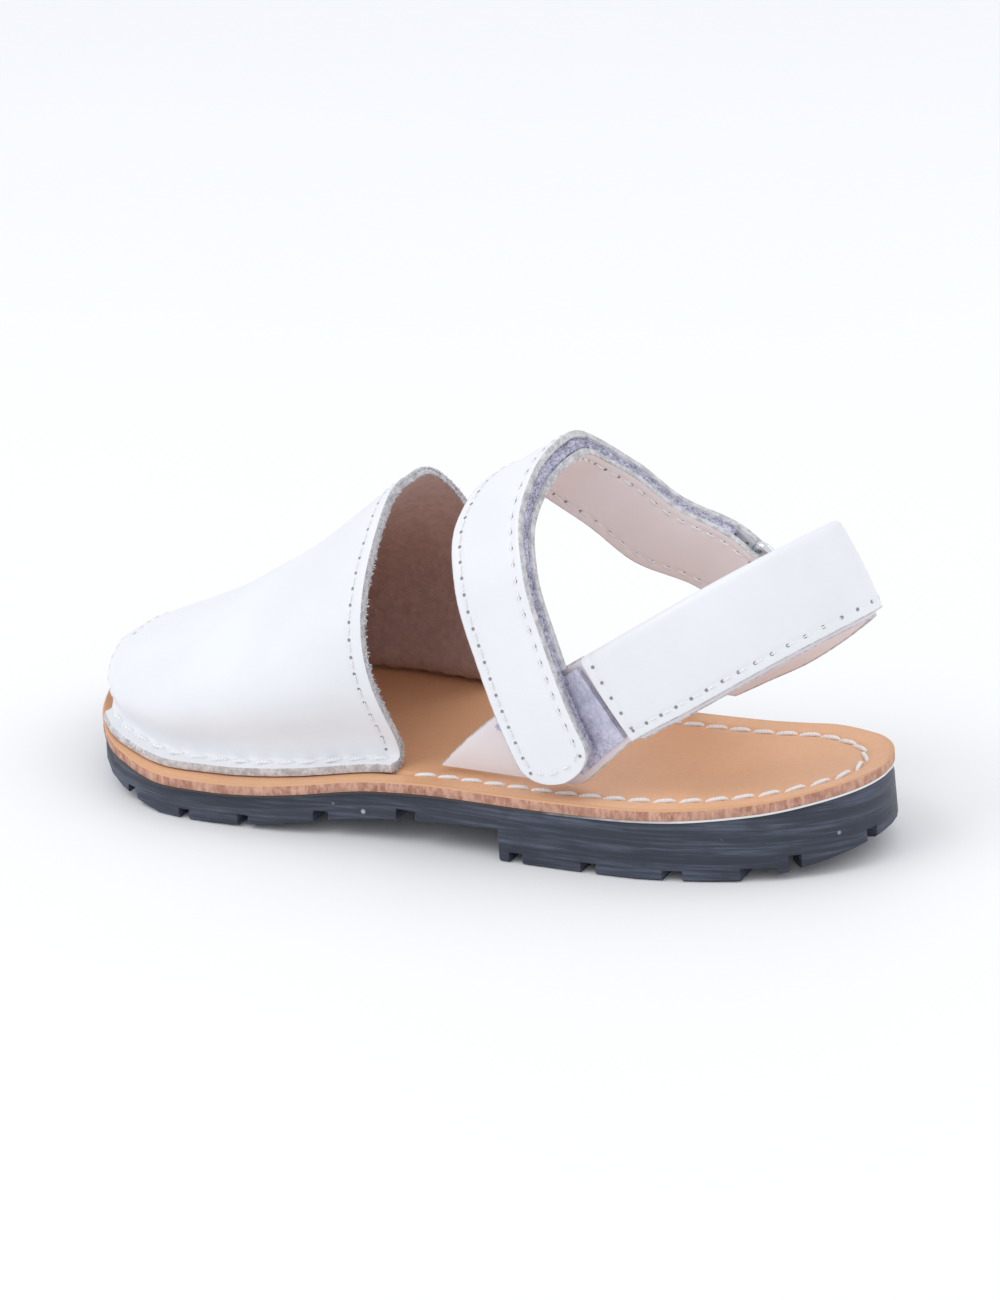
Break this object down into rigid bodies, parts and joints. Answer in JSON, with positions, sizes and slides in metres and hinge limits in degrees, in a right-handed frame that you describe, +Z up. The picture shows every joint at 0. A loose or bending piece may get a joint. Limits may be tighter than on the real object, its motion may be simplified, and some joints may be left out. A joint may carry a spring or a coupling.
{
  "type": "avarca sandal",
  "caption": "Child's left avarca sandal: flat rubber sole with lugs, leather insole, peep-toe vamp, heel sling and ankle strap that turns round a ring.",
  "frame": {"origin": "on the floor under the middle of the heel block", "axes": "+X from heel to toe, +Y to the lateral side of this left shoe, +Z up from the floor"},
  "size_m": [0.1684, 0.0699, 0.0754],
  "materials": {
    "rubber": "matt black rubber with fine brushed lines",
    "insole_leather": "smooth tan leather with a raw fibrous edge",
    "white_leather": "smooth white leather with raw grey edges",
    "lining_leather": "pale pinkish grey lining leather",
    "hook_and_loop": "lilac grey hook-and-loop pile",
    "ring_metal": "polished silver-coloured wire"
  },
  "bodies": {
    "root": {"outsole": "rubber", "insole": "insole_leather", "vamp": "white_leather", "heel_band": "white_leather", "heel_lining": "lining_leather", "ankle_strap": "white_leather", "strap_tape": "hook_and_loop", "loop_patch": "hook_and_loop", "ring": "ring_metal", "ring_tab": "white_leather"}
  },
  "joints": []
}
